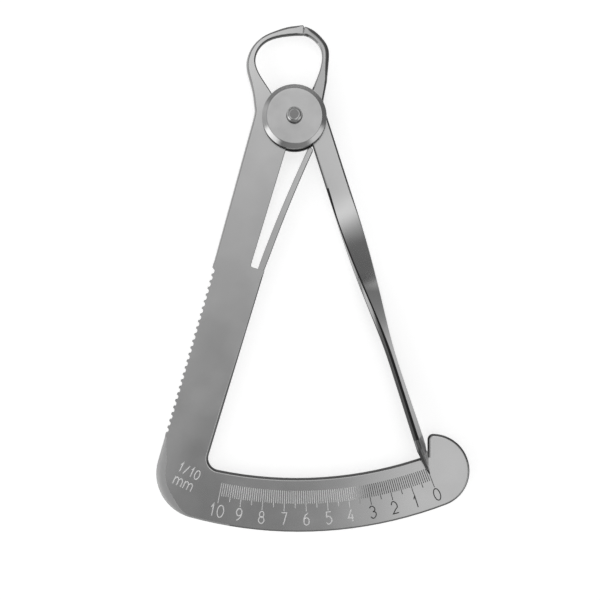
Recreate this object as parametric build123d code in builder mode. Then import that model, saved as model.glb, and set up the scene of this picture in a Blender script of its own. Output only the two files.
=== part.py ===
from build123d import *
import math
import os

# Spring caliper for thin wax and metal crowns, lying on its back disc.
# Millimetres and degrees. The pivot axis is the Z axis, Z = 0 is the back of the rear disc,
# the jaws are on the +Y side and the graduated arc is on the -Y side.
# Angles of the limb, the arm and the scale are measured from -Y and grow towards +X.

# Measuring geometry
READING_MAX = 10
DIVISIONS_PER_MM = 10
JAW_REACH = 18.14
JAW_LEAN = 6.0
ZERO_ANGLE = 20.75

# Sheet, discs and washers
PLATE_THICKNESS = 1.2
DISC_DIAMETER = 13.3
DISC_THICKNESS = 1.7
DISC_BEVEL_WIDTH = 0.95
DISC_BEVEL_HEIGHT = 0.65
WASHER_DIAMETER = 9.2
WASHER_THICKNESS = 0.15
EYE_DIAMETER = 9.6
EDGE_END_RADIUS = 3.6

# Pivot pin
PIN_DIAMETER = 3.1
PIN_PROUD = 1.3
PIN_CHAMFER = 0.3

# Clearances
RUNNING_GAP = 0.03
LAP_GAP = 0.06
EYE_CLEARANCE = 0.15
PIN_SEAT_CLEARANCE = 0.01
PIN_RUNNING_CLEARANCE = 0.04
JAW_CLOSED_GAP = 0.05
LEAF_SOCKET_CLEARANCE = 0.04
LEAF_REST_GAP = 0.2
BLADE_PLATE_GAP = 0.35
BLADE_NOTCH_CLEARANCE = 0.6

# Left limb
LIMB_OUTER_TILT = -15.4
LIMB_OUTER_OFFSET = 8.25
LIMB_INNER_TILT = -16.85
LIMB_INNER_OFFSET = 3.2
SLOT_WIDTH = 1.6
SLOT_FLOOR = 32.2
SLOT_FLOOR_RADIUS = 0.5
GRIP_START = 34.5
GRIP_SETBACK = 0.28
GRIP_TILT = -16.1
SERRATION_PITCH = 1.43
SERRATION_COUNT = 25
SERRATION_RADIUS = 0.55
SERRATION_DEPTH = 0.4

# Graduated arc
SCALE_RIM_RADIUS = 86.05
SCALE_RIM_CENTRE = (0.85, 0)
SCALE_EDGE_RADIUS = 80.7
SCALE_EDGE_CENTRE = (0.5, 5.8)
WINDOW_CORNER_RADIUS = 2.5
HEEL_RADIUS = 9.4
TAB_RADIUS = 7.6
TAB_ANGLE = 20.9
TAB_SETBACK = 0.29
TAB_CORNER_RADIUS = 1.2

# Engraving on the arc
ENGRAVING_DEPTH = 0.1
TICK_WIDTH = 0.15
TICK_RADIUS = 77.4
TICK_LENGTH = 2.7
HALF_TICK_LENGTH = 3.6
WHOLE_TICK_LENGTH = 4.3
NUMERAL_HEIGHT = 2.5
NUMERAL_WIDTH = 1.3
NUMERAL_STROKE = 0.22
NUMERAL_RADIUS = 83.25
CHARACTER_SPACING = 1.3
UNIT_MARK_ANGLE = -16.6
UNIT_MARK_RADIUS = 76.5
UNIT_MARK_TURN = -26.0
UNIT_MARK_HEIGHT = 1.9
UNIT_MARK_LINE_GAP = 2.8
UNIT_MARK_LINES = {"1/10": 0.95, "mm": 1.75}

# Jaws: the contact faces, and the points that each side of a jaw runs through. Points named
# from the contact are measured from its outer end, leftwards and towards the pivot. The
# others are measured from the pivot axis.
JAW_TIP_HEIGHT = 1.9
JAW_TIP_BEYOND = 1.25
JAW_TIP_CORNER_RADIUS = 0.35
RIGHT_JAW_TIP_SETBACK = 0.3
LEFT_JAW_OUTSIDE_FROM_CONTACT = ((2.8, 0.45), (5.85, 1.7), (9.43, 4.25), (11.2, 8.9))
LEFT_JAW_OUTSIDE_FROM_PIVOT = ((-8.75, 5.2), (-8.38, 2.3))
LEFT_JAW_INSIDE_FROM_PIVOT = ((-3.6, 3.0), (-5.0, 5.6), (-6.4, 7.75))
LEFT_JAW_INSIDE_FROM_CONTACT = ((8.7, 10.2), (9.38, 8.1), (8.2, 4.8), (4.66, 2.8))
RIGHT_JAW_OUTSIDE_FROM_CONTACT = ((-1.3, 0.42), (-3.6, 1.8), (-5.3, 3.75), (-5.85, 6.5))
RIGHT_JAW_OUTSIDE_FROM_PIVOT = ((6.82, 8.4), (6.45, 6.0))
RIGHT_JAW_INSIDE_FROM_PIVOT = ((2.9, 3.6), (3.65, 6.0), (4.92, 9.0))
RIGHT_JAW_INSIDE_FROM_CONTACT = ((-4.35, 7.6), (-4.1, 5.0), (-2.05, 2.6))
LIMB_JAW_BLEND = 3.0
ARM_WAIST = -1.2
ARM_WAIST_RADIUS = 4.0

# Moving arm
ARM_OFFSET = 4.2
ARM_WIDTH = 4.74
POINTER_RADIUS = 78.8
POINT_LENGTH = 5.5
POINT_SIZE = 0.3
TWIST_START = 16.0
TWIST_END = 55.0
TWIST_ANGLE = 74.0
TWIST_RELEASE = 4.0
TWIST_STATIONS = 14
BLADE_LIFT = 1.2
BLADE_EDGE_RADIUS = 0.35

# Leaf spring
LEAF_ROOT_WIDTH = 1.45
LEAF_TIP_WIDTH = 1.1
LEAF_TIP_RADIUS = 6.9
LEAF_BOW = 0.3

# Levels above the resting plane
PLATE_BACK = DISC_THICKNESS + WASHER_THICKNESS
PLATE_MIDDLE = PLATE_BACK + PLATE_THICKNESS / 2
PLATE_FRONT = PLATE_BACK + PLATE_THICKNESS
FRONT_WASHER_BACK = PLATE_FRONT + RUNNING_GAP
FRONT_DISC_BACK = FRONT_WASHER_BACK + WASHER_THICKNESS
FRONT_DISC_FACE = FRONT_DISC_BACK + DISC_THICKNESS
PIN_TOP = FRONT_DISC_FACE + PIN_PROUD

EYE_RADIUS = EYE_DIAMETER / 2
RECESS_RADIUS = EYE_RADIUS + EYE_CLEARANCE
PIN_RADIUS = PIN_DIAMETER / 2
ARM_TILT = ZERO_ANGLE - math.degrees(math.asin(ARM_OFFSET / POINTER_RADIUS))
POINT_END = math.sqrt(POINTER_RADIUS**2 - ARM_OFFSET**2)
POINT_START = POINT_END - POINT_LENGTH
POINTER_BACK = PLATE_FRONT + BLADE_PLATE_GAP
EYE_THICKNESS = (PLATE_THICKNESS - LAP_GAP) / 2
POINT_EDGE_RADIUS = BLADE_EDGE_RADIUS * POINT_SIZE / PLATE_THICKNESS


def polar(radius, angle):
    """A point at a radius from the pivot axis, at an angle from -Y towards +X."""
    return (radius * math.sin(math.radians(angle)), -radius * math.cos(math.radians(angle)))


def beside(tilt, offset, along):
    """A point on the line that leaves the pivot at a tilt, shifted sideways, some way down it."""
    turn = math.radians(tilt)
    return (
        offset * math.cos(turn) + along * math.sin(turn),
        offset * math.sin(turn) - along * math.cos(turn),
    )


def along_at_radius(offset, radius):
    """How far down a line that passes the pivot at an offset it reaches a radius."""
    return math.sqrt(radius**2 - offset**2)


def line_to_circle(start, tilt, centre, radius):
    """Where a line from a point, at a tilt, runs out of a circle."""
    offset = (Vector(start) - Vector(centre)).dot(Vector(direction(tilt + 90)))
    return Vector(centre) + Vector(beside(tilt, offset, along_at_radius(offset, radius)))


def swing(reading):
    """Turn of the arm, in degrees, that opens the jaws by a reading."""
    return 2 * math.degrees(math.asin(reading / (2 * JAW_REACH)))


def from_contact(left, down):
    """A point measured from the outer end of the jaws' contact: leftwards and inwards."""
    lean = math.radians(JAW_LEAN)
    reach = JAW_REACH + JAW_TIP_BEYOND - down
    return (
        reach * math.sin(lean) - left * math.cos(lean),
        reach * math.cos(lean) + left * math.sin(lean),
    )


def smooth_step(share):
    """Eases from 0 to 1 with level ends."""
    held = min(max(share, 0.0), 1.0)
    return held * held * (3 - 2 * held)


def direction(tilt):
    """Unit direction of a line that leaves the pivot at a tilt."""
    return (math.sin(math.radians(tilt)), -math.cos(math.radians(tilt)))


def scale_angle(reading):
    """Where the pointer stands at a reading."""
    return ZERO_ANGLE - swing(reading)


def scale_place(radius, angle):
    """A place on a circle about the rim's centre, with its upward side towards the pivot."""
    place = line_to_circle((0, 0), angle, SCALE_RIM_CENTRE, radius)
    return Location(place, (0, 0, angle))


def blade_plane(along):
    """The plane of the arm's section at a distance down the arm, with its width along X."""
    twisted = smooth_step((along - TWIST_START) / (TWIST_END - TWIST_START))
    released = smooth_step((along - TWIST_END) / (POINT_START - TWIST_END))
    turn = math.radians(TWIST_ANGLE * twisted - TWIST_RELEASE * released)
    tilt = math.radians(ARM_TILT)
    x, y = beside(ARM_TILT, ARM_OFFSET, along)
    return Plane(
        origin=(x, y, PLATE_MIDDLE + BLADE_LIFT * released),
        x_dir=(-math.cos(turn) * math.cos(tilt), -math.cos(turn) * math.sin(tilt), math.sin(turn)),
        z_dir=(*direction(ARM_TILT), 0),
    )


# Single-stroke characters for engraving, on a unit box: a loop has a centre and two radii,
# a line has straight runs between its points and a curve bends through them
CHARACTERS = {
    "0": [("loop", (0, 0), (0.5, 0.5))],
    "1": [("line", (-0.25, 0.22), (0.05, 0.5), (0.05, -0.5))],
    "2": [
        ("curve", (-0.42, 0.24), (0, 0.5), (0.42, 0.22), (0.12, -0.14)),
        ("line", (0.12, -0.14), (-0.45, -0.5), (0.48, -0.5)),
    ],
    "3": [
        ("curve", (-0.4, 0.36), (0, 0.5), (0.38, 0.27), (-0.02, 0.04)),
        ("curve", (-0.02, 0.04), (0.45, -0.22), (0, -0.5), (-0.45, -0.33)),
    ],
    "4": [
        ("line", (0.15, 0.5), (-0.48, -0.18), (0.48, -0.18)),
        ("line", (0.2, 0.1), (0.2, -0.5)),
    ],
    "5": [
        ("line", (0.4, 0.5), (-0.3, 0.5), (-0.36, 0.06)),
        ("curve", (-0.36, 0.06), (0.08, 0.12), (0.45, -0.18), (0.02, -0.5), (-0.42, -0.36)),
    ],
    "6": [
        ("curve", (0.3, 0.5), (-0.25, 0.22), (-0.42, -0.2)),
        ("loop", (0, -0.2), (0.42, 0.3)),
    ],
    "7": [("line", (-0.42, 0.5), (0.42, 0.5), (-0.1, -0.5))],
    "8": [("loop", (0, 0.25), (0.34, 0.25)), ("loop", (0, -0.22), (0.43, 0.28))],
    "9": [
        ("loop", (0, 0.2), (0.42, 0.3)),
        ("curve", (0.42, 0.2), (0.25, -0.22), (-0.3, -0.5)),
    ],
    "/": [("line", (-0.4, -0.55), (0.4, 0.55))],
    "m": [
        ("line", (-0.5, -0.5), (-0.5, 0.35)),
        ("curve", (-0.5, 0.1), (-0.25, 0.35), (0, 0.1)),
        ("line", (0, 0.1), (0, -0.5)),
        ("curve", (0, 0.1), (0.25, 0.35), (0.5, 0.1)),
        ("line", (0.5, 0.1), (0.5, -0.5)),
    ],
}


def text_edges(text, place, width, height):
    """The strokes of some characters, set side by side about a place."""
    edges = []
    pitch = width * CHARACTER_SPACING
    turn = place.orientation.Z
    for index, character in enumerate(text):
        shift = (index - (len(text) - 1) / 2) * pitch
        for kind, *points in CHARACTERS[character]:
            if kind == "loop":
                (x, y), (x_radius, y_radius) = points
                centre = (place * Location((shift + x * width, y * height, 0))).position
                for start in (90, 270):
                    edges.append(
                        EllipticalCenterArc(
                            centre,
                            x_radius * width,
                            y_radius * height,
                            start,
                            arc_size=180,
                            rotation=turn,
                            mode=Mode.PRIVATE,
                        )
                    )
            else:
                spots = [
                    (place * Location((shift + x * width, y * height, 0))).position
                    for x, y in points
                ]
                path = Polyline if kind == "line" else Spline
                edges.append(path(*spots, mode=Mode.PRIVATE))
    return edges


os.makedirs("parts", exist_ok=True)

# Frame plate: limb, graduated arc, end tab and left jaw in one sheet
limb_above_slot_offset = LIMB_INNER_OFFSET - LEAF_ROOT_WIDTH - SLOT_WIDTH
limb_jaw_join = beside(LIMB_OUTER_TILT, -LIMB_OUTER_OFFSET, LIMB_JAW_BLEND)
grip_shoulder = beside(LIMB_OUTER_TILT, -LIMB_OUTER_OFFSET, GRIP_START)
grip_start = Vector(beside(LIMB_OUTER_TILT, GRIP_SETBACK - LIMB_OUTER_OFFSET, GRIP_START))
heel = line_to_circle(grip_start, GRIP_TILT, SCALE_RIM_CENTRE, SCALE_RIM_RADIUS)
slot_outer_corner = beside(LIMB_INNER_TILT, limb_above_slot_offset, SLOT_FLOOR)
slot_inner_corner = beside(LIMB_INNER_TILT, LIMB_INNER_OFFSET, SLOT_FLOOR)
limb_edge_end = beside(LIMB_INNER_TILT, limb_above_slot_offset, EDGE_END_RADIUS)
scale_edge = Vector(SCALE_EDGE_CENTRE)
scale_edge_bottom = scale_edge - Vector(0, SCALE_EDGE_RADIUS)
window_corner = line_to_circle(
    slot_inner_corner, LIMB_INNER_TILT, SCALE_EDGE_CENTRE, SCALE_EDGE_RADIUS
)
leaf_root = beside(LIMB_INNER_TILT, LIMB_INNER_OFFSET - LEAF_ROOT_WIDTH / 2, SLOT_FLOOR)
rim = Vector(SCALE_RIM_CENTRE)
rim_bottom = rim - Vector(0, SCALE_RIM_RADIUS)
rim_end = rim + Vector(polar(SCALE_RIM_RADIUS, TAB_ANGLE))
tab_centre = rim + Vector(polar(SCALE_RIM_RADIUS - TAB_RADIUS, TAB_ANGLE))
tab_side = polar(TICK_RADIUS, ZERO_ANGLE)[0] + TAB_SETBACK
tab_top = tab_centre.Y + along_at_radius(tab_side - tab_centre.X, TAB_RADIUS)
tab_foot = scale_edge.Y - along_at_radius(tab_side - scale_edge.X, SCALE_EDGE_RADIUS)
tab_right = tab_centre + Vector(TAB_RADIUS, 0)
left_contact = JAW_CLOSED_GAP / 2
left_jaw_outside = [from_contact(*p) for p in LEFT_JAW_OUTSIDE_FROM_CONTACT]
left_jaw_inside = [from_contact(*p) for p in LEFT_JAW_INSIDE_FROM_CONTACT]
limb_down = direction(LIMB_OUTER_TILT)
ticks = {WHOLE_TICK_LENGTH: [], HALF_TICK_LENGTH: [], TICK_LENGTH: []}
for division in range(READING_MAX * DIVISIONS_PER_MM + 1):
    if division % DIVISIONS_PER_MM == 0:
        length = WHOLE_TICK_LENGTH
    elif division * 2 % DIVISIONS_PER_MM == 0:
        length = HALF_TICK_LENGTH
    else:
        length = TICK_LENGTH
    middle = TICK_RADIUS + length / 2
    ticks[length].append(scale_place(middle, scale_angle(division / DIVISIONS_PER_MM)))
strokes = []
for reading in range(READING_MAX + 1):
    place = scale_place(NUMERAL_RADIUS, scale_angle(reading))
    strokes += text_edges(str(reading), place, NUMERAL_WIDTH, NUMERAL_HEIGHT)
unit_mark_place = Location(
    (*polar(UNIT_MARK_RADIUS, UNIT_MARK_ANGLE), 0), (0, 0, UNIT_MARK_TURN)
)
for line_number, (words, width) in enumerate(UNIT_MARK_LINES.items()):
    place = unit_mark_place * Location((0, -line_number * UNIT_MARK_LINE_GAP, 0))
    strokes += text_edges(words, place, width, UNIT_MARK_HEIGHT)

with BuildPart() as frame_plate:
    with BuildSketch(Plane.XY.offset(PLATE_BACK)) as frame_outline:
        with BuildLine():
            Polyline(limb_jaw_join, grip_shoulder, grip_start, heel)
            ThreePointArc(heel, rim_bottom, rim_end)
            ThreePointArc(rim_end, tab_right, (tab_side, tab_top))
            Line((tab_side, tab_top), (tab_side, tab_foot))
            ThreePointArc((tab_side, tab_foot), scale_edge_bottom, window_corner)
            Polyline(window_corner, slot_inner_corner, slot_outer_corner, limb_edge_end)
            Line(limb_edge_end, LEFT_JAW_INSIDE_FROM_PIVOT[0])
            inside = Spline(
                *LEFT_JAW_INSIDE_FROM_PIVOT,
                *left_jaw_inside,
                from_contact(left_contact, JAW_TIP_HEIGHT),
            )
            Line(inside @ 1, from_contact(left_contact, 0))
            Spline(
                from_contact(left_contact, 0),
                *left_jaw_outside,
                *LEFT_JAW_OUTSIDE_FROM_PIVOT,
                limb_jaw_join,
                tangents=[(-1, 0), limb_down],
            )
        make_face()
        for corner, radius in (
            (heel, HEEL_RADIUS),
            (window_corner, WINDOW_CORNER_RADIUS),
            ((tab_side, tab_top), TAB_CORNER_RADIUS),
            (slot_outer_corner, SLOT_FLOOR_RADIUS),
            (from_contact(left_contact, 0), JAW_TIP_CORNER_RADIUS),
        ):
            fillet(frame_outline.vertices().sort_by_distance(corner)[0], radius)
        # Round-bottomed finger serrations along the outer edge
        for tooth in range(SERRATION_COUNT):
            along = (tooth + 1 / 2) * SERRATION_PITCH
            groove = grip_start + Vector(
                beside(GRIP_TILT, SERRATION_DEPTH - SERRATION_RADIUS, along)
            )
            with Locations(groove):
                Circle(SERRATION_RADIUS, mode=Mode.SUBTRACT)
        with Locations(leaf_root):
            Circle(LEAF_ROOT_WIDTH / 2 + LEAF_SOCKET_CLEARANCE, mode=Mode.SUBTRACT)
    extrude(amount=PLATE_THICKNESS)
    # Half-thickness eye at the back, in a round recess that holds the arm's eye
    with BuildSketch(Plane.XY.offset(PLATE_MIDDLE - LAP_GAP / 2)):
        Circle(RECESS_RADIUS)
    extrude(amount=PLATE_THICKNESS, mode=Mode.SUBTRACT)
    with BuildSketch(Plane.XY.offset(PLATE_BACK)):
        Circle(EYE_RADIUS)
    extrude(amount=EYE_THICKNESS)
    with Locations((0, 0, PLATE_FRONT)):
        Hole(PIN_RADIUS + PIN_SEAT_CLEARANCE)
    # Tenth lines, numbers and unit mark, cut into the front face
    with BuildSketch(Plane.XY.offset(PLATE_FRONT)):
        for length, places in ticks.items():
            with Locations(*places):
                Rectangle(TICK_WIDTH, length)
        for edge in strokes:
            trace(edge, NUMERAL_STROKE)
    extrude(amount=-ENGRAVING_DEPTH, mode=Mode.SUBTRACT)
frame_plate.part.label = "frame_plate"
export_step(frame_plate.part, "parts/frame_plate.step")

# Moving arm: right jaw, eye and flat shank in the sheet's plane, then a blade that is twisted
# to stand on its edge and ends in a point in front of the graduated arc
arm_left_offset = ARM_OFFSET - ARM_WIDTH / 2
arm_right_offset = ARM_OFFSET + ARM_WIDTH / 2
arm_waist = Vector(beside(ARM_TILT, arm_right_offset, ARM_WAIST))
right_jaw_foot = Vector(RIGHT_JAW_OUTSIDE_FROM_PIVOT[-1])
arm_edge_end = beside(ARM_TILT, arm_left_offset, EDGE_END_RADIUS)
point_plane = Plane(
    origin=(*beside(ARM_TILT, ARM_OFFSET, POINT_END), POINTER_BACK + POINT_SIZE / 2),
    x_dir=(0, 0, 1),
    z_dir=(*direction(ARM_TILT), 0),
)
notch_start = (
    min(
        (scale_edge + Vector(0, -SCALE_EDGE_RADIUS).rotate(Axis.Z, angle)).length
        for angle in (0, ZERO_ANGLE)
    )
    - BLADE_NOTCH_CLEARANCE
)
notch_plane = Plane(
    origin=(*beside(ARM_TILT, ARM_OFFSET, notch_start), POINTER_BACK),
    x_dir=(*direction(ARM_TILT - 90), 0),
)
right_contact = -JAW_CLOSED_GAP / 2
right_jaw_corner = from_contact(right_contact, RIGHT_JAW_TIP_SETBACK)
right_jaw_outside = [from_contact(*p) for p in RIGHT_JAW_OUTSIDE_FROM_CONTACT]
right_jaw_inside = [from_contact(*p) for p in RIGHT_JAW_INSIDE_FROM_CONTACT]

with BuildPart() as moving_arm:
    with BuildSketch(Plane.XY.offset(PLATE_BACK)) as arm_outline:
        with BuildLine():
            Line(from_contact(right_contact, JAW_TIP_HEIGHT), right_jaw_corner)
            Spline(
                right_jaw_corner,
                *right_jaw_outside,
                *RIGHT_JAW_OUTSIDE_FROM_PIVOT,
                tangents=[(1, 0), arm_waist - right_jaw_foot],
            )
            Line(right_jaw_foot, arm_waist)
            Polyline(
                arm_waist,
                beside(ARM_TILT, arm_right_offset, TWIST_START),
                beside(ARM_TILT, arm_left_offset, TWIST_START),
                arm_edge_end,
            )
            Line(arm_edge_end, RIGHT_JAW_INSIDE_FROM_PIVOT[0])
            Spline(
                *RIGHT_JAW_INSIDE_FROM_PIVOT,
                *right_jaw_inside,
                from_contact(right_contact, JAW_TIP_HEIGHT),
            )
        make_face()
        for corner, radius in (
            (arm_waist, ARM_WAIST_RADIUS),
            (right_jaw_corner, JAW_TIP_CORNER_RADIUS),
        ):
            fillet(arm_outline.vertices().sort_by_distance(corner)[0], radius)
    extrude(amount=PLATE_THICKNESS)
    with BuildSketch(Plane.XY.offset(PLATE_MIDDLE + LAP_GAP / 2)):
        Circle(RECESS_RADIUS)
    extrude(amount=-PLATE_THICKNESS, mode=Mode.SUBTRACT)
    with BuildSketch(Plane.XY.offset(PLATE_FRONT)):
        Circle(EYE_RADIUS)
    extrude(amount=-EYE_THICKNESS)
    with Locations((0, 0, PLATE_FRONT)):
        Hole(PIN_RADIUS + PIN_RUNNING_CLEARANCE)
    # Twisted blade
    for station in range(TWIST_STATIONS + 1):
        along = TWIST_START + (POINT_START - TWIST_START) * station / TWIST_STATIONS
        with BuildSketch(blade_plane(along)):
            RectangleRounded(ARM_WIDTH, PLATE_THICKNESS, BLADE_EDGE_RADIUS)
    loft()
    # Pointed end, which comes down to the face of the arc
    with BuildSketch(blade_plane(POINT_START)):
        RectangleRounded(ARM_WIDTH, PLATE_THICKNESS, BLADE_EDGE_RADIUS)
    with BuildSketch(point_plane):
        RectangleRounded(POINT_SIZE, POINT_SIZE, POINT_EDGE_RADIUS)
    loft(ruled=True)
    # Notch behind the point, where the arc passes
    with BuildSketch(notch_plane):
        Rectangle(ARM_WIDTH, POINT_LENGTH, align=(Align.CENTER, Align.MIN))
    extrude(amount=-ARM_WIDTH, mode=Mode.SUBTRACT)
moving_arm.part.label = "moving_arm"
export_step(moving_arm.part, "parts/moving_arm.step")

# Leaf spring: a finger slit out of the limb's inner edge, which presses on the arm
leaf_tip_offset = arm_left_offset - LEAF_REST_GAP - LEAF_TIP_WIDTH / 2
leaf_tip = Vector(
    beside(
        ARM_TILT,
        leaf_tip_offset,
        along_at_radius(leaf_tip_offset, LEAF_TIP_RADIUS + LEAF_TIP_WIDTH / 2),
    )
)
leaf_base = Vector(leaf_root)
leaf_axis = (leaf_tip - leaf_base).normalized()
leaf_left = Vector(-leaf_axis.Y, leaf_axis.X)
leaf_middle = (leaf_base + leaf_tip) / 2 + leaf_left * LEAF_BOW
root_half = leaf_left * (LEAF_ROOT_WIDTH / 2)
middle_half = leaf_left * ((LEAF_ROOT_WIDTH + LEAF_TIP_WIDTH) / 4)
tip_half = leaf_left * (LEAF_TIP_WIDTH / 2)

with BuildPart() as leaf_spring:
    with BuildSketch(Plane.XY.offset(PLATE_BACK)):
        with BuildLine():
            ThreePointArc(leaf_base - root_half, leaf_middle - middle_half, leaf_tip - tip_half)
            ThreePointArc(
                leaf_tip - tip_half, leaf_tip + leaf_axis * (LEAF_TIP_WIDTH / 2), leaf_tip + tip_half
            )
            ThreePointArc(leaf_tip + tip_half, leaf_middle + middle_half, leaf_base + root_half)
            ThreePointArc(
                leaf_base + root_half,
                leaf_base - leaf_axis * (LEAF_ROOT_WIDTH / 2),
                leaf_base - root_half,
            )
        make_face()
    extrude(amount=PLATE_THICKNESS)
leaf_spring.part.label = "leaf_spring"
export_step(leaf_spring.part, "parts/leaf_spring.step")

# Discs that clamp the joint, with bevelled outer edges
with BuildPart() as rear_disc:
    with BuildSketch(Plane.XY):
        Circle(DISC_DIAMETER / 2)
    extrude(amount=DISC_THICKNESS)
    chamfer(
        rear_disc.edges().group_by(Axis.Z)[0],
        DISC_BEVEL_WIDTH,
        DISC_BEVEL_HEIGHT,
        reference=rear_disc.faces().sort_by(Axis.Z)[0],
    )
    with Locations((0, 0, DISC_THICKNESS)):
        Hole(PIN_RADIUS + PIN_SEAT_CLEARANCE)
rear_disc.part.label = "rear_disc"
export_step(rear_disc.part, "parts/rear_disc.step")

with BuildPart() as front_disc:
    with BuildSketch(Plane.XY.offset(FRONT_DISC_BACK)):
        Circle(DISC_DIAMETER / 2)
    extrude(amount=DISC_THICKNESS)
    chamfer(
        front_disc.edges().group_by(Axis.Z)[-1],
        DISC_BEVEL_WIDTH,
        DISC_BEVEL_HEIGHT,
        reference=front_disc.faces().sort_by(Axis.Z)[-1],
    )
    with Locations((0, 0, FRONT_DISC_FACE)):
        Hole(PIN_RADIUS + PIN_SEAT_CLEARANCE)
front_disc.part.label = "front_disc"
export_step(front_disc.part, "parts/front_disc.step")

# Thin washers that keep the discs off the sheet
with BuildPart() as rear_washer:
    with BuildSketch(Plane.XY.offset(DISC_THICKNESS)):
        Circle(WASHER_DIAMETER / 2)
        Circle(PIN_RADIUS + PIN_SEAT_CLEARANCE, mode=Mode.SUBTRACT)
    extrude(amount=WASHER_THICKNESS)
rear_washer.part.label = "rear_washer"
export_step(rear_washer.part, "parts/rear_washer.step")

with BuildPart() as front_washer:
    with BuildSketch(Plane.XY.offset(FRONT_WASHER_BACK)):
        Circle(WASHER_DIAMETER / 2)
        Circle(PIN_RADIUS + PIN_SEAT_CLEARANCE, mode=Mode.SUBTRACT)
    extrude(amount=WASHER_THICKNESS)
front_washer.part.label = "front_washer"
export_step(front_washer.part, "parts/front_washer.step")

# Pivot pin, flush with the rear disc and proud of the front one
with BuildPart() as pivot_pin:
    with BuildSketch(Plane.XY):
        Circle(PIN_RADIUS)
    extrude(amount=PIN_TOP)
    chamfer(pivot_pin.edges().group_by(Axis.Z)[-1], PIN_CHAMFER)
pivot_pin.part.label = "pivot_pin"
export_step(pivot_pin.part, "parts/pivot_pin.step")
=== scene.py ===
"""Looks of a dental wax caliper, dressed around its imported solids."""

import logging
import math
from dataclasses import dataclass, field
from enum import Enum

import bmesh
import bpy
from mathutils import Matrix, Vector


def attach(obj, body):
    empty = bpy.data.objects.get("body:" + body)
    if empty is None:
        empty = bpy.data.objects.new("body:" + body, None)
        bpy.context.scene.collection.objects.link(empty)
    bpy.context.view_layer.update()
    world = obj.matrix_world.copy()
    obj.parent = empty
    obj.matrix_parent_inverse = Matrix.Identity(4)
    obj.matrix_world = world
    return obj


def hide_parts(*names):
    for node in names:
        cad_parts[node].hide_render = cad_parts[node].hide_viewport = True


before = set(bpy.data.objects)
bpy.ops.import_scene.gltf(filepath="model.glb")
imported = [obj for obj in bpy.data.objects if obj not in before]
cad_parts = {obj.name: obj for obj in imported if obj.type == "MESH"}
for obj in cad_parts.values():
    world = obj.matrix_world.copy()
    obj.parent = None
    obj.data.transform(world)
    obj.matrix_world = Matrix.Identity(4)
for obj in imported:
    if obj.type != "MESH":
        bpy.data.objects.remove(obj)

MM = 0.001
log = logging.getLogger("caliper")

LEVEL_NORMAL = 0.999  # least Z of a level face's normal
SAME_PLACE = 1e-6  # metres within which corners and heights count as the same
FLAT_ANGLE = 0.001  # radians within which faces count as one plane
LEAST_RUN = 0.02  # millimetres that part the points of an outline at least
MITRE_LIMIT = 0.45  # least square of a mean direction, which holds sharp corners back
NOISE_REACH = (0.3, 0.7)  # values between which nearly all of a noise lies
SMUDGE_DETAIL = 3.0
GRAIN_DETAIL = 2.0
WHITE = (1.0, 1.0, 1.0, 1.0)

Point = tuple[float, float]
Outline = list[Point]
Corner = bmesh.types.BMVert
Mesh = bmesh.types.BMesh
Object = bpy.types.Object
Socket = bpy.types.NodeSocket
Value = Socket | float
Inputs = dict[str | int, Value | tuple[float, ...]]


class Body(Enum):
    """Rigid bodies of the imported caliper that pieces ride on."""

    FRAME = "frame"
    ARM = "arm"
    LEAF = "leaf"


class Slot(Enum):
    """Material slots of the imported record."""

    PLATE = "plate_steel"
    DISC = "disc_steel"
    WASHER = "washer_steel"
    PIN = "pin_steel"


class Way(Enum):
    """Directions along which a finish may change."""

    X = "X"
    Y = "Y"


class Zone(Enum):
    """Stretches of a piece's surface that have a material of their own; most carry painted shade or
    painted light.
    """

    FACE = "face"
    ROUNDING = "rounding"
    WALL = "wall"
    BRUSHED = "brushed"
    BLADE_EDGE = "blade_edge"
    PAINTED_BLACK = "oiled"
    POINTER = "pointer"


class Side(Enum):
    """How much painted shade the edge of a sheet has on one of its sides.

    The values count facets from the edge's middle: those painted dark as shade, and those
    painted dimmer as shade. On a brushed side they count the brushed ones.
    """

    LIT = (0, 0)
    SOFT = (0, 5)
    PLAIN = (3, 5)
    SHADED = (4, 5)
    BRUSHED = (6, 6)


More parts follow.
